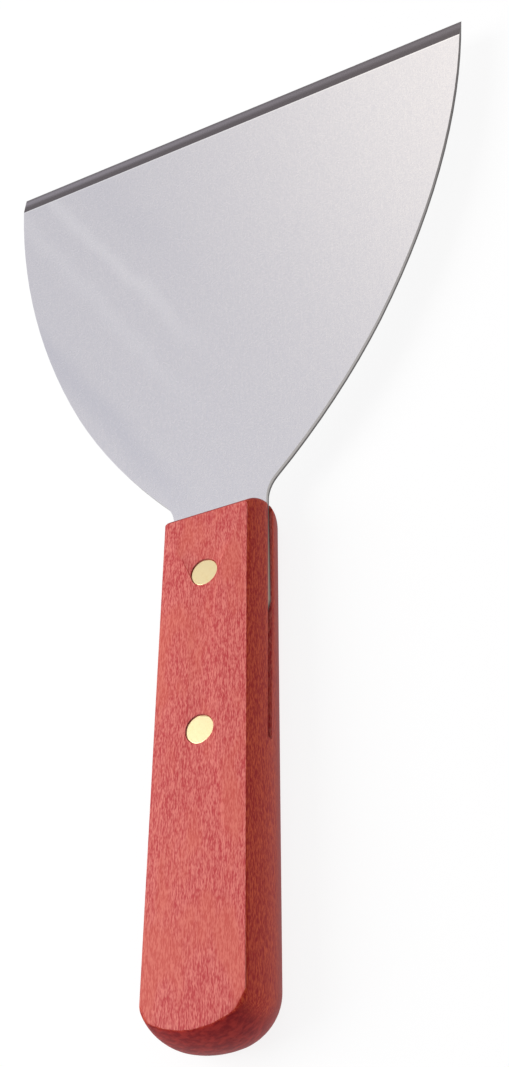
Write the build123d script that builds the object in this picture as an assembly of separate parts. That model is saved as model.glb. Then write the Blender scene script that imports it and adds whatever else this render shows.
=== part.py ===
"""Bench scraper: a fan-shaped steel blade held in a kerfed hardwood handle.

The handle lies flat on z = 0, the blade points along +Y, and the whole tool
is centred on x = 0 and y = 0. All sizes are millimetres.
"""
import os
from math import sqrt

from build123d import *

# ---- blade -----------------------------------------------------------
blade_thickness = 1.25
blade_width = 132.4  # along the cutting edge
blade_reach = 134.7  # front edge of the handle face to the cutting edge
side_radius = 216.0  # long side, cutting edge to shoulder
shoulder_radius = 166.0  # long side, shoulder to neck
shoulder_width = 80.5
shoulder_reach = 45.0  # front edge of the handle face to the shoulder
neck_width = 23.2
neck_reach = 7.6  # front edge of the handle face to the flare
neck_fillet = 8.0
bevel_length = 5.85
edge_land = 0.15  # steel left at the cutting edge

# ---- tang ------------------------------------------------------------
tang_inset = 0.05  # how far the tang stops short of the handle's sides
tang_straight = 22.0  # full-width part inside the handle
tang_end_margin = 4.4  # steel beyond the rear rivet, also the end radius

# ---- handle ----------------------------------------------------------
face_length = 112.0  # flat faces, from the front edge to the butt
handle_thickness = 14.6
face_width_front = 20.2
face_width_butt = 21.9
front_side_crown = 2.05  # how far the sides swell beyond the faces at the front
butt_side_crown = 1.3
front_crown = 3.6
butt_crown = 2.2
face_butt_radius = 18.5
face_butt_corner = 4.3
under_butt_corner = 9.0  # the underside is rubbed rounder there
face_front_corner = 0.4
middle_front_corner = 1.8
crown_steps = 5  # outlines drawn from the mid-plane to each face

# ---- kerf ------------------------------------------------------------
kerf_rise = 0.5  # middle of the blade above the middle of the handle
kerf_end_clearance = 0.5  # gap left behind the end of the tang
kerf_cutter_radius = 25.0
kerf_clearance = 0.45  # gap left under the tang

# ---- rivets ----------------------------------------------------------
front_rivet = 15.2  # distances behind the front edge of the handle face
rear_rivet = 52.4
head_diameter = 6.35
head_thickness = 1.15
head_rim = 0.2
head_recess = 0.28
head_clearance = 0.12
sleeve_diameter = 3.95
pin_diameter = 2.6
pin_clearance = 0.02
pin_end_gap = 0.8
sleeve_end_gap = 0.5
hole_clearance = 0.1

# ---- derived ---------------------------------------------------------
front_y = (face_length + butt_crown - blade_reach) / 2
edge_y = front_y + blade_reach
mid_z = handle_thickness / 2
blade_z = mid_z + kerf_rise
blade_bottom = blade_z - blade_thickness / 2
blade_top = blade_z + blade_thickness / 2
floor_depth = head_recess + head_thickness
tang_width = face_width_front + 2 * (front_side_crown - tang_inset)
kerf_depth = rear_rivet + tang_end_margin + kerf_end_clearance


def slab(outline, z0, z1):
    """A flat-faced solid between two heights."""
    return extrude(Plane.XY.offset(z0) * make_face(outline), amount=z1 - z0)


def rod(y, diameter, z0, z1):
    """An upright cylinder on the centre line."""
    return Pos(0, y, (z0 + z1) / 2) * Cylinder(diameter / 2, z1 - z0)


def mirrored(curves):
    """The curves and their mirror images across x = 0."""
    return Curve() + curves + [mirror(c, about=Plane.YZ) for c in curves]


# ---- blade and tang --------------------------------------------------
def blade_outline():
    """Right-hand edge of the plate from the cutting edge to the tang end."""
    neck = neck_width / 2
    corner = (neck, front_y + neck_reach)
    shoulder = (shoulder_width / 2, front_y + shoulder_reach)
    tip = (blade_width / 2, edge_y)
    taper_start = (tang_width / 2, front_y - tang_straight)
    end_centre = front_y - rear_rivet
    end_tip = (0, end_centre - tang_end_margin)
    taper_end = (tang_end_margin, end_centre)
    return [
        Line((0, edge_y), tip),
        side_arc(tip, shoulder, side_radius),
        side_arc(shoulder, corner, shoulder_radius),
        Line(corner, taper_start),
        Line(taper_start, taper_end),
        RadiusArc(taper_end, end_tip, tang_end_margin),
    ]


def side_arc(start, end, radius):
    """Arc between two points, bulging away from x = 0."""
    (x0, y0), (x1, y1) = start, end
    half = sqrt((x1 - x0) ** 2 + (y1 - y0) ** 2) / 2
    rise = radius - sqrt(radius**2 - half**2)
    nx, ny = (y0 - y1) / (2 * half), (x1 - x0) / (2 * half)
    middle = ((x0 + x1) / 2 + nx * rise, (y0 + y1) / 2 + ny * rise)
    return ThreePointArc(start, middle, end)


def bevel_waste():
    """Steel ground off the upper face to make the cutting edge."""
    land = blade_bottom + edge_land
    section = Polyline(
        (edge_y - bevel_length, blade_top),
        (edge_y + 1, blade_top),
        (edge_y + 1, land),
        (edge_y, land),
        close=True,
    )
    face = make_face(Plane.YZ * section)
    return extrude(face, amount=blade_width, both=True)


def make_blade():
    """Plate, bevel, neck fillets and rivet holes."""
    plate = slab(mirrored(blade_outline()), blade_bottom, blade_top)
    corner_y = front_y + neck_reach
    corners = [
        e
        for e in plate.edges().filter_by(Axis.Z)
        if abs(e.center().Y - corner_y) < 0.1
    ]
    plate = fillet(corners, neck_fillet) - bevel_waste()
    for y in rivet_positions():
        plate -= rod(y, sleeve_diameter + hole_clearance, 0, handle_thickness)
    return plate


# ---- handle ----------------------------------------------------------
def swell(crown, z):
    """How far a crowned edge stands out at a height above the mid-plane."""
    half = handle_thickness / 2
    radius = (half**2 + crown**2) / (2 * crown)
    return sqrt(radius**2 - z**2) - (radius - crown)


def butt_corner(z):
    """Radius of the butt's corners, rounder towards the underside."""
    share = 0.5 - z / handle_thickness
    return face_butt_corner + (under_butt_corner - face_butt_corner) * share


def front_corner(z):
    """Radius of the front corners, largest at the mid-plane."""
    share = swell(front_crown, z) / front_crown
    return face_front_corner + (middle_front_corner - face_front_corner) * share


def outline(z):
    """Plan of the handle at a height above or below its mid-plane."""
    out_front = swell(front_crown, z)
    out_butt = swell(butt_crown, z)
    x0 = face_width_front / 2 + swell(front_side_crown, z)
    x1 = face_width_butt / 2 + swell(butt_side_crown, z)
    y0 = front_y + out_front
    tip = front_y - face_length - out_butt
    radius = face_butt_radius + out_butt
    y1 = tip + radius - sqrt(radius**2 - x1**2)
    wire = Wire(
        [
            Line((-x0, y0), (x0, y0)),
            Line((x0, y0), (x1, y1)),
            ThreePointArc((x1, y1), (0, tip), (-x1, y1)),
            Line((-x1, y1), (-x0, y0)),
        ]
    )
    front = [v for v in wire.vertices() if v.Y > y0 - 1]
    wire = wire.fillet_2d(front_corner(z), front)
    butt = [v for v in wire.vertices() if abs(abs(v.X) - x1) < 0.01 and v.Y < y1 + 0.01]
    wire = wire.fillet_2d(butt_corner(z) + out_butt, butt)
    return Pos(0, 0, mid_z + z) * make_face(wire)


def handle_body():
    """Handle before the kerf and the rivet holes, crowned all round."""
    step = handle_thickness / 2 / crown_steps
    levels = [i * step for i in range(-crown_steps, crown_steps + 1)]
    return loft([outline(z) for z in levels])


def kerf():
    """Saw kerf for the tang, open at the front and at both sides."""
    bottom = blade_bottom - kerf_clearance
    height = blade_top - bottom
    centre = front_y - kerf_depth + kerf_cutter_radius
    middle = bottom + height / 2
    disc = Pos(0, centre, middle) * Cylinder(kerf_cutter_radius, height)
    run = Pos(0, centre + 50, middle) * Box(2 * kerf_cutter_radius, 100, height)
    return disc + run


def rivet_hole(y):
    """Through hole with a counterbore in each face."""
    bore = head_diameter + head_clearance
    hole = rod(y, sleeve_diameter + hole_clearance, 0, handle_thickness)
    hole += rod(y, bore, handle_thickness - floor_depth, handle_thickness + 1)
    return hole + rod(y, bore, -1, floor_depth)


def make_handle():
    """One block of wood with the kerf and two rivet holes."""
    block = handle_body() - kerf()
    for y in rivet_positions():
        block -= rivet_hole(y)
    return block


# ---- rivets ----------------------------------------------------------
def rivet_positions():
    """Y of the front and rear rivets."""
    return front_y - front_rivet, front_y - rear_rivet


def make_pin(y):
    """Solid half of a rivet, its head sunk in the upper face."""
    top = handle_thickness - head_recess
    under = top - head_thickness
    head = rod(y, head_diameter, under, top)
    head = fillet(head.edges().group_by(Axis.Z)[-1], head_rim)
    return head + rod(y, pin_diameter, floor_depth + pin_end_gap, under)


def make_sleeve(y):
    """Tubular half of a rivet, its head sunk in the lower face."""
    top = handle_thickness - floor_depth - sleeve_end_gap
    head = rod(y, head_diameter, head_recess, floor_depth)
    head = fillet(head.edges().group_by(Axis.Z)[0], head_rim)
    tube = rod(y, sleeve_diameter, floor_depth, top)
    return head + tube - rod(y, pin_diameter + pin_clearance, floor_depth, top + 1)


def main():
    """Write one STEP file per piece."""
    front, rear = rivet_positions()
    pieces = {
        "blade": make_blade(),
        "handle": make_handle(),
        "front_rivet_pin": make_pin(front),
        "front_rivet_sleeve": make_sleeve(front),
        "rear_rivet_pin": make_pin(rear),
        "rear_rivet_sleeve": make_sleeve(rear),
    }
    os.makedirs("parts", exist_ok=True)
    for name, shape in pieces.items():
        export_step(shape, f"parts/{name}.step")


if __name__ == "__main__":
    main()
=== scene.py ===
"""Bench scraper: finishes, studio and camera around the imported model.

The blade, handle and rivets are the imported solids. Their meshes are merged
and smoothed here, and every surface gets a procedural finish.
"""

import logging
import math
from dataclasses import dataclass
from enum import Enum
from typing import Any, Iterator

import bmesh
import bpy
import numpy as np
from mathutils import Matrix, Vector

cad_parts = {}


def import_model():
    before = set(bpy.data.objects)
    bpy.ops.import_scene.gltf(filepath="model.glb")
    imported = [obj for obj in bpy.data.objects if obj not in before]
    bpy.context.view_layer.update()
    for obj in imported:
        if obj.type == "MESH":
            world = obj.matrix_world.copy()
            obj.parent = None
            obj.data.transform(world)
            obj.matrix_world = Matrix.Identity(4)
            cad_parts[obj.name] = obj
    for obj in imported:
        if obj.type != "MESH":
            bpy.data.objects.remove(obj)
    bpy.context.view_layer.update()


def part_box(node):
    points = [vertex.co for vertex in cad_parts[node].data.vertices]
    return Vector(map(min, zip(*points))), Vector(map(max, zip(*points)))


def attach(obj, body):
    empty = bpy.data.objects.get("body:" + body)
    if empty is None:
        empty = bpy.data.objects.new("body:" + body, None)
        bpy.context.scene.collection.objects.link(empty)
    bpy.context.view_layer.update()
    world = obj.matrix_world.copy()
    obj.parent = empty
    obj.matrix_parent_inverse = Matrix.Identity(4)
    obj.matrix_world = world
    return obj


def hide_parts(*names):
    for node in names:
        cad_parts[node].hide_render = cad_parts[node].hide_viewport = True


BODY = "root"
MM = 0.001
WELD = 0.001 * MM  # corners nearer than this are one
FACE_WEIGHT = 100  # how much the larger face decides a shared normal
WHITE = (1.0, 1.0, 1.0)

Colour = tuple[float, float, float]
Triple = tuple[float, float, float]
Span = tuple[float, float]  # the value that gives 0, then the one that gives 1

log = logging.getLogger("bench_scraper")


class Maths(Enum):
    """Arithmetic that a Math node can do."""

    ADD = "ADD"
    SUBTRACT = "SUBTRACT"
    MULTIPLY = "MULTIPLY"
    DIVIDE = "DIVIDE"
    ABSOLUTE = "ABSOLUTE"


# ---------------------------------------------------------------------------
# Shader building
# ---------------------------------------------------------------------------
@dataclass(frozen=True)
class Grain:
    """One fractal pattern: cells per metre along X, Y and Z, and a shift in cells."""

    pitch: Triple
    shift: Triple = (0.0, 0.0, 0.0)
    detail: float = 2.0
    rough: float = 0.5


@dataclass
class Signal:
    """A number carried by a shader socket, usable in plain arithmetic."""

    shader: "Shader"
    socket: bpy.types.NodeSocket

    def _math(self, kind: Maths, *values: Any) -> "Signal":
        """Adds one Math node that works on the given values in order."""
        settings = {"operation": kind.value}
        return self.shader.add("ShaderNodeMath", settings, dict(enumerate(values)))

    def __add__(self, other: Any) -> "Signal":
        """Sum of the two."""
        return self._math(Maths.ADD, self, other)

    __radd__ = __add__

    def __sub__(self, other: Any) -> "Signal":
        """This less the other."""
        return self._math(Maths.SUBTRACT, self, other)

    def __rsub__(self, other: Any) -> "Signal":
        """The other less this."""
        return self._math(Maths.SUBTRACT, other, self)

    def __mul__(self, other: Any) -> "Signal":
        """Product of the two."""
        return self._math(Maths.MULTIPLY, self, other)

    __rmul__ = __mul__

    def __truediv__(self, other: Any) -> "Signal":
        """This over the other."""
        return self._math(Maths.DIVIDE, self, other)

    def __rtruediv__(self, other: Any) -> "Signal":
        """The other over this."""
        return self._math(Maths.DIVIDE, other, self)

    def __abs__(self) -> "Signal":
        """Size without sign."""
        return self._math(Maths.ABSOLUTE, self)

    def ramp(self, span: Span) -> "Signal":
        """Smooth step from 0 at the span's start to 1 at its end.

        Args:
            span: Value that gives 0, then the one that gives 1, which may be less.

        Returns:
            The eased signal.
        """
        settings = {"interpolation_type": "SMOOTHSTEP"}
        inputs = {"Value": self, "From Min": span[0], "From Max": span[1]}
        return self.shader.add("ShaderNodeMapRange", settings, inputs)


class Shader:
    """Builds one node tree, one typed call at a time."""

    def __init__(self, tree: bpy.types.NodeTree) -> None:
        """Empties the tree.

        Args:
            tree: Node tree of a material or a world.
        """
        self.tree = tree
        tree.nodes.clear()

    def add(
        self,
        kind: str,
        settings: dict[str, Any] | None = None,
        inputs: dict[Any, Any] | None = None,
        output: Any = 0,
    ) -> Any:
        """Adds a node, sets it up, then fills its sockets.

        Args:
            kind: Node type.
            settings: Node attributes, set before the sockets.
            inputs: Socket name or number to value or signal.
            output: Name or number of the socket to return, or None for an end node.

        Returns:
            The chosen output, or None.
        """
        node = self.tree.nodes.new(kind)
        for name, value in (settings or {}).items():
            setattr(node, name, value)
        for name, value in (inputs or {}).items():
            socket = node.inputs[name]
            if isinstance(value, Signal):
                self.tree.links.new(value.socket, socket)
            else:
                socket.default_value = value
        return None if output is None else Signal(self, node.outputs[output])

    def place(self) -> Signal:
        """Object coordinates, in metres."""
        return self.add("ShaderNodeTexCoord", output="Object")

    def noise(self, grain: Grain) -> Signal:
        """Fractal noise with the grain's pitch, about 0.5 on average.

        Args:
            grain: Cells per metre, shift, detail and roughness.

        Returns:
            The noise value.
        """
        where = {"Vector": self.place(), "Scale": grain.pitch, "Location": grain.shift}
        inputs = {
            "Vector": self.add("ShaderNodeMapping", None, where),
            "Scale": 1.0,
            "Detail": grain.detail,
            "Roughness": grain.rough,
        }
        return self.add("ShaderNodeTexNoise", None, inputs, "Fac")

    def axes(self, vector: Signal) -> tuple[Signal, Signal, Signal]:
        """Splits a vector.

        Args:
            vector: Signal that carries a vector.

        Returns:
            Its X, Y and Z parts.
        """
        x = self.add("ShaderNodeSeparateXYZ", None, {0: vector})
        outputs = x.socket.node.outputs
        return x, Signal(self, outputs[1]), Signal(self, outputs[2])

    def slope(self) -> tuple[Signal, Signal, Signal]:
        """The surface normal's X, Y and Z parts."""
        return self.axes(self.add("ShaderNodeNewGeometry", output="Normal"))

    def facing(self, way: Signal, towards: Triple) -> Signal:
        """Compares a unit direction with a fixed one.

        Args:
            way: Direction at each point.
            towards: Fixed direction, of any length.

        Returns:
            Cosine of the angle between the two.
        """
        fixed = tuple(Vector(towards).normalized())
        settings = {"operation": "DOT_PRODUCT"}
        return self.add("ShaderNodeVectorMath", settings, {0: way, 1: fixed}, "Value")

    def mix(self, factor: Any, first: Any, second: Any) -> Signal:
        """Colour mix.

        Args:
            factor: How much of the second colour.
            first: Colour at factor 0.
            second: Colour at factor 1.

        Returns:
            The mixed colour.
        """
        inputs = {0: factor, 6: self._rgba(first), 7: self._rgba(second)}
        return self.add("ShaderNodeMix", {"data_type": "RGBA"}, inputs, 2)

    def bump(self, height: Signal, distance: float, strength: float) -> Signal:
        """Surface relief of the given depth in metres."""
        inputs = {"Height": height, "Distance": distance, "Strength": strength}
        return self.add("ShaderNodeBump", None, inputs)

    @staticmethod
    def _rgba(colour: Any) -> Any:
        """A colour with full alpha, or a signal unchanged."""
        return colour if isinstance(colour, Signal) else (*colour, 1.0)


def surface(name: str) -> tuple[bpy.types.Material, Shader]:
    """A new empty material.

    Args:
        name: Name of the material.

    Returns:
        The material and the builder of its node tree.
    """
    material = bpy.data.materials.new(name)
    material.use_nodes = True
    return material, Shader(material.node_tree)


def close(shader: Shader, inputs: dict[str, Any]) -> None:
    """Ends a material with a Principled shader.

    Args:
        shader: The material's builder.
        inputs: Socket name to value or signal.
    """
    body = shader.add("ShaderNodeBsdfPrincipled", None, inputs)
    shader.add("ShaderNodeOutputMaterial", None, {"Surface": body}, None)


# ---------------------------------------------------------------------------
# Finishes
# ---------------------------------------------------------------------------
@dataclass(frozen=True)
class StainedWood:
    """Fine-pored hardwood with a red stain and a thin dull sealer."""

    face_dark: Colour = (0.49, 0.050, 0.054)
    face_light: Colour = (0.73, 0.205, 0.170)
    face_warm: Colour = (0.65, 0.140, 0.092)
    # Side colours are the wood's tone with painted shade, darker than the faces.
    side_shade_dark: Colour = (0.33, 0.006, 0.008)
    side_shade_light: Colour = (0.56, 0.075, 0.030)
    # Painted shade for the down-facing part of each side.
    under: Colour = (0.24, 0.004, 0.006)
    end_dark: Colour = (0.21, 0.003, 0.006)
    end_light: Colour = (0.36, 0.020, 0.016)
    fibres: Grain = Grain((4000.0, 520.0, 4000.0), detail=1.0, rough=0.6)
    hairs: Grain = Grain((5600.0, 1300.0, 5600.0), (3.0, 7.0, 1.0), detail=1.0)
    bands: Grain = Grain((1100.0, 30.0, 1100.0), (9.0, 2.0, 5.0))
    blotches: Grain = Grain((150.0, 60.0, 150.0), (1.0, 4.0, 2.0), detail=3.0)
    pores: Grain = Grain((600.0, 600.0, 1100.0), detail=4.0, rough=0.6)
    fibre_share: float = 0.48
    hair_share: float = 0.44
    band_share: float = 0.05
    blotch_share: float = 0.03
    light_span: Span = (0.39, 0.62)
    warm_span: Span = (0.45, 0.65)
    warmth: float = 0.45
    pore_span: Span = (0.38, 0.66)
    # Where and how much the painted shade deepens on down-facing slopes.
    under_shade_span: Span = (-0.02, -0.35)
    under_shade_depth: float = 0.75
    level_span: Span = (0.93, 0.98)
    end_span: Span = (0.30, 0.75)
    roughness: float = 0.52
    roughness_spread: float = 0.15
    gloss: float = 0.16
    relief: float = 0.05 * MM
    relief_strength: float = 0.7

    def material(self) -> bpy.types.Material:
        """Short fibres along Y on the faces, painted shade on each side, deepest where it
        faces down, and deeper stain on the end grain.

        Returns:
            The wood's material.
        """
        material, s = surface("stained_wood")
        blotches = s.noise(self.blotches)
        grain = s.noise(self.fibres) * self.fibre_share + s.noise(self.hairs) * self.hair_share
        grain = grain + s.noise(self.bands) * self.band_share + blotches * self.blotch_share
        light = grain.ramp(self.light_span)
        _, along, up = s.slope()
        # Each side is a darker copy of the face colour: painted shade, deepest on down-facing
        # slopes.
        shaded_sides = s.mix(light, self.side_shade_dark, self.side_shade_light)
        shaded_sides = s.mix(up.ramp(self.under_shade_span) * self.under_shade_depth, shaded_sides, self.under)
        faces = s.mix(light, self.face_dark, self.face_light)
        faces = s.mix(blotches.ramp(self.warm_span) * self.warmth, faces, self.face_warm)
        ends = s.mix(s.noise(self.pores).ramp(self.pore_span), self.end_dark, self.end_light)
        tone = s.mix(abs(up).ramp(self.level_span), shaded_sides, faces)
        tone = s.mix(abs(along).ramp(self.end_span), tone, ends)
        close(s, {
            "Base Color": tone,
            "Roughness": self.roughness + self.roughness_spread * (grain - 0.5),
            "Normal": s.bump(grain, self.relief, self.relief_strength),
            "Specular IOR Level": self.gloss,
        })
        return material


@dataclass(frozen=True)
class SheenBand:
    """A faint straight band of painted reflection on the steel face.

    Place is its distance from the origin across the bands, and a negative strength paints a
    darker reflection instead of a brighter one.
    """

    place: float
    width: float
    strength: float


@dataclass(frozen=True)
class SatinSteel:
    """Spring steel: ground flat faces, a bevel darkened with painted shade and reflection, and
    sheared rims in painted shade.
    """

    edge_y: float
    under_z: float
    face: Colour = (0.83, 0.82, 0.83)
    bright: Colour = (0.97, 0.97, 0.97)
    # Darker grain tone, also used for the darker bands of painted reflection.
    dull_and_shade: Colour = (0.57, 0.585, 0.66)
    # Bevel colours: painted shade, with a paler band of painted reflection.
    bevel_shade: Colour = (0.118, 0.100, 0.104)
    bevel_sheen: Colour = (0.31, 0.285, 0.31)
    # Rim colours: painted shade, deepest towards the cutting edge and the underside.
    rim_shade_deep: Colour = (0.085, 0.07, 0.068)
    rim_shade_pale: Colour = (0.46, 0.44, 0.43)
    rim_under_shade: Colour = (0.05, 0.045, 0.045)
    tang_rim: Colour = (0.30, 0.215, 0.16)
    grain: Grain = Grain((5200.0, 300.0, 400.0), rough=0.6)
    grain_span: Span = (0.30, 0.70)
    grain_share: float = 0.16
    speckle: Grain = Grain((3000.0, 2400.0, 400.0), (4.0, 1.0, 0.0))
    speckle_span: Span = (0.35, 0.65)
    speckle_share: float = 0.26
    roughness: float = 0.28
    speckle_roughness: float = 0.06
    rim_roughness: float = 0.12
    relief: float = 0.004 * MM
    relief_strength: float = 0.5
    bevel_length: float = 5.85 * MM
    bevel_zone: Span = (8.0 * MM, 7.0 * MM)
    flat_slope: Span = (0.985, 0.992)
    # Where the bevel's painted reflection band lies, and how its right half gets deeper
    # painted shade.
    bevel_sheen_place: float = 0.3
    bevel_sheen_span: Span = (0.0, 0.4)
    bevel_right_shade_span: Span = (-66.0 * MM, 66.0 * MM)
    bevel_right_shade_depth: float = 0.6
    hairline_span: Span = (0.5 * MM, 0.3 * MM)
    hairline_depth: float = 0.8
    rim_slope: Span = (0.2, 0.6)
    # Along the rim the painted shade deepens towards the edge and the underside.
    rim_shade_fade: Span = (118.0 * MM, 20.0 * MM)
    rim_low_shade_span: Span = (0.75 * MM, 0.25 * MM)
    rim_low_shade_depth: float = 0.85
    tang_span: Span = (-6.0 * MM, -10.0 * MM)
    # Bands of painted reflection across the face's left half.
    across: tuple[float, float] = (0.827, 0.562)
    wander: Grain = Grain((60.0, 60.0, 60.0), detail=1.0)
    wander_width: float = 6.0 * MM
    sheen_fade: Span = (4.0 * MM, -28.0 * MM)
    sheen_bands: tuple[SheenBand, ...] = (
        SheenBand(20.1 * MM, 3.2 * MM, 0.30),
        SheenBand(9.8 * MM, 4.0 * MM, 0.18),
        SheenBand(-8.5 * MM, 5.0 * MM, -0.26),
        SheenBand(32.0 * MM, 9.0 * MM, -0.10),
    )

    def material(self) -> bpy.types.Material:
        """Fine grain along Y, with bevel and rims told apart by slope.

        Returns:
            The steel's material.
        """
        material, s = surface("satin_steel")
        x, y, z = s.axes(s.place())
        _, _, up = s.slope()
        level = abs(up)
        from_edge = self.edge_y - y
        rim = 1.0 - level.ramp(self.rim_slope)
        sloped = (1.0 - level.ramp(self.flat_slope)) * from_edge.ramp(self.bevel_zone)
        grain = s.noise(self.grain)
        speckle = s.noise(self.speckle)
        tone = s.mix(grain.ramp(self.grain_span) * self.grain_share, self.face, self.dull_and_shade)
        tone = s.mix(speckle.ramp(self.speckle_span) * self.speckle_share, tone, self.dull_and_shade)
        # Painted reflection: soft bright and dark bands across the face.
        tone = self._painted_sheen(s, tone, x, y)
        # A bright hairline just behind the bevel.
        tone = self._brightened_hairline(s, tone, from_edge)
        # Painted shade and reflection on the bevel.
        tone = s.mix(sloped, tone, self._bevel_painted_shade(s, x, from_edge))
        # Painted shade on the rims.
        tone = s.mix(rim, tone, self._rim_shade(s, y, z))
        roughness = self.roughness + self.speckle_roughness * (speckle - 0.5)
        close(s, {
            "Base Color": tone,
            "Metallic": 1.0,
            "Roughness": roughness + self.rim_roughness * rim,
            "Normal": s.bump(grain, self.relief, self.relief_strength),
        })
        return material

    def _painted_sheen(self, s: Shader, tone: Signal, x: Signal, y: Signal) -> Signal:
        """Adds soft bands of painted reflection to the left half of the face.

        Args:
            s: The material's builder.
            tone: Colour before the bands.
            x: Place across the blade.
            y: Place along the blade.

        Returns:
            Colour with the bands.
        """
        sway = (s.noise(self.wander) - 0.5) * self.wander_width
        across = x * self.across[0] + y * self.across[1] + sway
        fade = x.ramp(self.sheen_fade)
        for band in self.sheen_bands:
            near = 1.0 - abs(across - band.place) / band.width
            amount = near.ramp((0.0, 1.0)) * fade * abs(band.strength)
            tone = s.mix(amount, tone, self.bright if band.strength > 0 else self.dull_and_shade)
        return tone

    def _brightened_hairline(self, s: Shader, tone: Signal, from_edge: Signal) -> Signal:
        """Brightens a hairline of the face just behind the bevel.

        Args:
            s: The material's builder.
            tone: Colour before the line.
            from_edge: Distance from the cutting edge.

        Returns:
            Colour with the line.
        """
        line = (from_edge - self.bevel_length).ramp(self.hairline_span) * self.hairline_depth
        return s.mix(line, tone, self.bright)

    def _bevel_painted_shade(self, s: Shader, x: Signal, from_edge: Signal) -> Signal:
        """Painted shade on the ground bevel, with a paler band of painted reflection near its
        front and towards the left.

        Args:
            s: The material's builder.
            x: Place across the blade.
            from_edge: Distance from the cutting edge.

        Returns:
            The bevel's colour.
        """
        from_middle = abs(from_edge / self.bevel_length - self.bevel_sheen_place)
        pale_sheen = 1.0 - from_middle.ramp(self.bevel_sheen_span)
        tone = s.mix(pale_sheen, self.bevel_shade, self.bevel_sheen)
        # Painted shade deepens towards the right of the bevel.
        right = x.ramp(self.bevel_right_shade_span) * self.bevel_right_shade_depth
        return s.mix(right, tone, self.bevel_shade)

    def _rim_shade(self, s: Shader, y: Signal, z: Signal) -> Signal:
        """Painted shade on the sheared rim, darker towards the edge and the underside.

        Args:
            s: The material's builder.
            y: Place along the blade.
            z: Height.

        Returns:
            The rim's colour.
        """
        tone = s.mix(y.ramp(self.rim_shade_fade), self.rim_shade_deep, self.rim_shade_pale)
        tone = s.mix(y.ramp(self.tang_span), tone, self.tang_rim)
        # Painted shade deepens towards the underside.
        low = (z - self.under_z).ramp(self.rim_low_shade_span) * self.rim_low_shade_depth
        return s.mix(low, tone, self.rim_under_shade)


@dataclass(frozen=True)
class TurnedBrass:
    """Pale brass with a soft tarnish and a faint relief."""

    face: Colour = (0.93, 0.78, 0.44)
    worn: Colour = (0.80, 0.62, 0.30)
    tarnish: Grain = Grain((700.0, 700.0, 700.0), detail=3.0, rough=0.6)
    tarnish_span: Span = (0.45, 0.75)
    tarnish_share: float = 0.45
    pitting: Grain = Grain((5000.0, 5000.0, 5000.0))
    roughness: float = 0.32
    roughness_spread: float = 0.15
    relief: float = 0.004 * MM
    relief_strength: float = 0.5

    def material(self) -> bpy.types.Material:
        """Soft blotches of tarnish over a polished head.

        Returns:
            The brass's material.
        """
        material, s = surface("rivet_brass")
        tarnish = s.noise(self.tarnish)
        worn = tarnish.ramp(self.tarnish_span) * self.tarnish_share
        close(s, {
            "Base Color": s.mix(worn, self.face, self.worn),
            "Metallic": 1.0,
            "Roughness": self.roughness + self.roughness_spread * (tarnish - 0.5),
            "Normal": s.bump(s.noise(self.pitting), self.relief, self.relief_strength),
        })
        return material


@dataclass(frozen=True)
class PaleGround:
    """Evenly backlit near-white sheet under the tool."""

    tone: Colour = (0.13, 0.13, 0.13)
    glow: float = 0.87
    roughness: float = 0.9
    gloss: float = 0.1

    def material(self) -> bpy.types.Material:
        """Dim matt sheet with an even white glow.

        Returns:
            The ground's material.
        """
        material, s = surface("pale_ground")
        close(s, {
            "Base Color": (*self.tone, 1.0),
            "Roughness": self.roughness,
            "Specular IOR Level": self.gloss,
            "Emission Color": (*WHITE, 1.0),
            "Emission Strength": self.glow,
        })
        return material


# ---------------------------------------------------------------------------
# Pieces
# ---------------------------------------------------------------------------
def finished_copy(node: str, name: str, smooth_angle: float) -> bpy.types.Object:
    """A merged, smooth-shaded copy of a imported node, standing for it.

    Args:
        node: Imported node.
        name: Name of the new piece.
        smooth_angle: Edges sharper than this, in degrees, stay crisp.

    Returns:
        The new object, riding on the body.
    """
    source = bpy.data.objects[node].data
    shape = bmesh.new()
    shape.from_mesh(source)
    bmesh.ops.remove_doubles(shape, verts=shape.verts, dist=WELD)
    mesh = bpy.data.meshes.new(name)
    shape.to_mesh(mesh)
    shape.free()
    mesh.materials.clear()
    mesh.polygons.foreach_set("use_smooth", np.ones(len(mesh.polygons), dtype=bool))
    mesh.set_sharp_from_angle(angle=math.radians(smooth_angle))
    piece = bpy.data.objects.new(name, mesh)
    bpy.context.scene.collection.objects.link(piece)
    level = piece.modifiers.new("level_faces", "WEIGHTED_NORMAL")
    level.weight, level.keep_sharp = FACE_WEIGHT, True
    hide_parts(node)
    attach(piece, BODY)
    return piece


@dataclass
class Blade:
    """Steel plate with its half tang."""

    node: str = "blade"
    slot: str = "blade_steel"
    smooth_angle: float = 8.0

    def build(self) -> bpy.types.Object:
        """Makes and dresses the blade.

        Returns:
            The blade's piece.
        """
        low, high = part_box(self.node)
        piece = finished_copy(self.node, "blade_plate", self.smooth_angle)
        piece.data.materials.append(SatinSteel(edge_y=high.y, under_z=low.z).material())
        return piece


@dataclass
class Handle:
    """Block of stained wood."""

    node: str = "handle"
    slot: str = "stained_wood"
    smooth_angle: float = 35.0
    finish: StainedWood = StainedWood()

    def build(self) -> bpy.types.Object:
        """Makes and dresses the handle.

        Returns:
            The handle's piece.
        """
        piece = finished_copy(self.node, "handle_block", self.smooth_angle)
        piece.data.materials.append(self.finish.material())
        return piece


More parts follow.
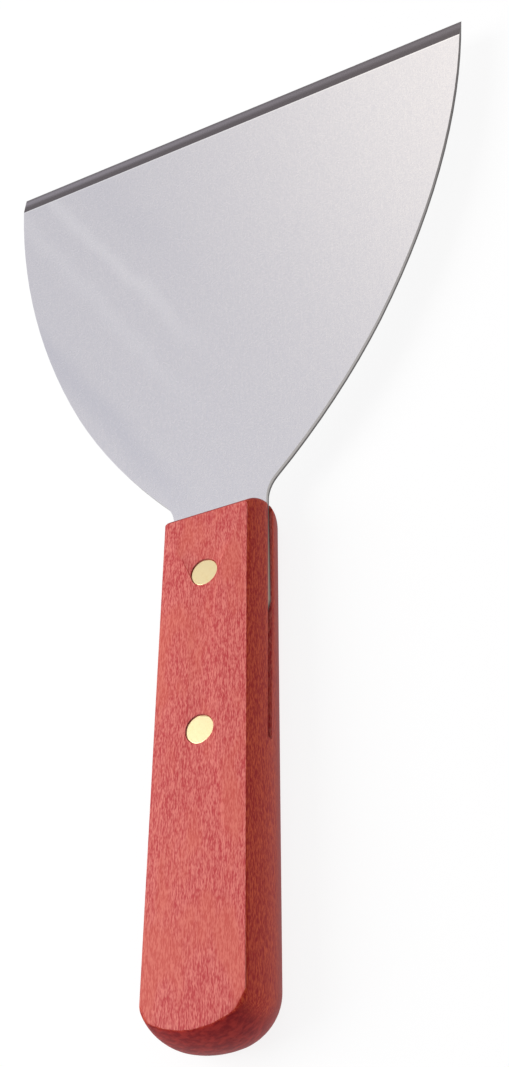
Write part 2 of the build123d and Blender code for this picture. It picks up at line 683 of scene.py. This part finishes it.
@dataclass
class Rivets:
    """The two-part rivets that hold the tang."""

    nodes: tuple[str, ...] = (
        "front_rivet_pin",
        "front_rivet_sleeve",
        "rear_rivet_pin",
        "rear_rivet_sleeve",
    )
    slot: str = "rivet_brass"
    smooth_angle: float = 35.0
    finish: TurnedBrass = TurnedBrass()

    def build(self) -> Iterator[bpy.types.Object]:
        """Makes and dresses the four rivet halves.

        Returns:
            Each half's piece in turn.
        """
        brass = self.finish.material()
        for node in self.nodes:
            piece = finished_copy(node, f"{node}_brass", self.smooth_angle)
            piece.data.materials.append(brass)
            yield piece


# ---------------------------------------------------------------------------
# Studio
# ---------------------------------------------------------------------------
@dataclass(frozen=True)
class Softbox:
    """One square area light."""

    name: str
    place: Triple
    aim: Triple
    size: float
    power: float

    def build(self) -> None:
        """Puts the light in the scene."""
        lamp = bpy.data.lights.new(self.name, "AREA")
        lamp.size, lamp.energy = self.size, self.power
        holder = bpy.data.objects.new(self.name, lamp)
        holder.location = Vector(self.place)
        towards = Vector(self.aim) - Vector(self.place)
        holder.rotation_euler = towards.to_track_quat("-Z", "Y").to_euler()
        bpy.context.scene.collection.objects.link(holder)


@dataclass
class Studio:
    """Pale ground, soft sky and one softbox."""

    half_width: float = 4.0
    drop: float = 0.1 * MM
    sky_dark: Colour = (0.10, 0.09, 0.09)
    sky_soft: Colour = (0.68, 0.67, 0.71)
    sky_bright: Colour = (1.34, 1.27, 1.19)
    sky_back: Colour = (0.42, 0.42, 0.43)
    soft_towards: Triple = (-0.65, 0.55, 0.52)
    bright_towards: Triple = (0.12, 0.80, 0.59)
    back_towards: Triple = (0.55, -0.75, 0.36)
    soft_span: Span = (-0.2, 0.8)
    bright_span: Span = (0.862, 0.985)
    back_span: Span = (0.25, 0.95)
    key: Softbox = Softbox(
        name="left_key", place=(-0.75, -0.05, 0.72), aim=(0.0, 0.0, 0.0), size=0.8, power=8.5
    )

    def build(self) -> None:
        """Makes the ground, the sky and the light."""
        self._ground()
        self._sky()
        self.key.build()

    def _ground(self) -> None:
        """A flat square just under the handle: corners at plus and minus half_width."""
        w = self.half_width
        corners = np.array([(-w, -w), (w, -w), (w, w), (-w, w)])
        points = np.column_stack([corners, np.full(4, -self.drop)])
        mesh = bpy.data.meshes.new("ground")
        mesh.from_pydata(points.tolist(), [], [(0, 1, 2, 3)])
        mesh.materials.append(PaleGround().material())
        ground = bpy.data.objects.new("ground", mesh)
        bpy.context.scene.collection.objects.link(ground)

    def _sky(self) -> None:
        """Soft sky with three broad pale parts, one of them bright, on a dim one."""
        world = bpy.data.worlds.new("studio")
        world.use_nodes = True
        bpy.context.scene.world = world
        s = Shader(world.node_tree)
        way = s.add("ShaderNodeTexCoord", output="Generated")
        soft = s.facing(way, self.soft_towards).ramp(self.soft_span)
        back = s.facing(way, self.back_towards).ramp(self.back_span)
        bright = s.facing(way, self.bright_towards).ramp(self.bright_span)
        tone = s.mix(soft, self.sky_dark, self.sky_soft)
        tone = s.mix(back, tone, self.sky_back)
        tone = s.mix(bright, tone, self.sky_bright)
        glow = s.add("ShaderNodeBackground", None, {"Color": tone, "Strength": 1.0})
        s.add("ShaderNodeOutputWorld", None, {"Surface": glow}, None)


@dataclass
class Viewpoint:
    """Camera held by its place, direction and roll."""

    place: Triple = (0.14323, -0.21006, 0.25849)
    azimuth: float = 34.53
    elevation: float = 46.52
    roll: float = 43.03
    lens: float = 53.80
    sensor: float = 36.0
    nearest: float = 0.01
    farthest: float = 20.0

    def build(self) -> None:
        """Makes the camera.

        The camera looks along the azimuth, down by the elevation, and its
        picture is then turned by the roll.
        """
        a, e, r = map(math.radians, (self.azimuth, self.elevation, self.roll))
        back = Vector((math.sin(a) * math.cos(e), -math.cos(a) * math.cos(e), math.sin(e)))
        right = Vector((math.cos(a), math.sin(a), 0.0))
        up = back.cross(right)
        turned_right = right * math.cos(r) - up * math.sin(r)
        turned_up = back.cross(turned_right)
        data = bpy.data.cameras.new("viewpoint")
        data.lens, data.sensor_width = self.lens, self.sensor
        data.clip_start, data.clip_end = self.nearest, self.farthest
        camera = bpy.data.objects.new("viewpoint", data)
        turn = Matrix((turned_right, turned_up, back)).transposed()
        camera.matrix_world = Matrix.Translation(self.place) @ turn.to_4x4()
        bpy.context.scene.collection.objects.link(camera)
        bpy.context.scene.camera = camera


def report(piece: bpy.types.Object) -> None:
    """Logs a piece's name and face count."""
    log.info("%s: %d faces", piece.name, len(piece.data.polygons))


def main() -> None:
    """Builds the tool, then the studio."""
    logging.basicConfig(level=logging.INFO)
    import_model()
    bpy.context.scene.view_settings.view_transform = "Standard"
    report(Blade().build())
    report(Handle().build())
    for piece in Rivets().build():
        report(piece)
    Studio().build()
    Viewpoint().build()


if __name__ == "__main__":
    main()
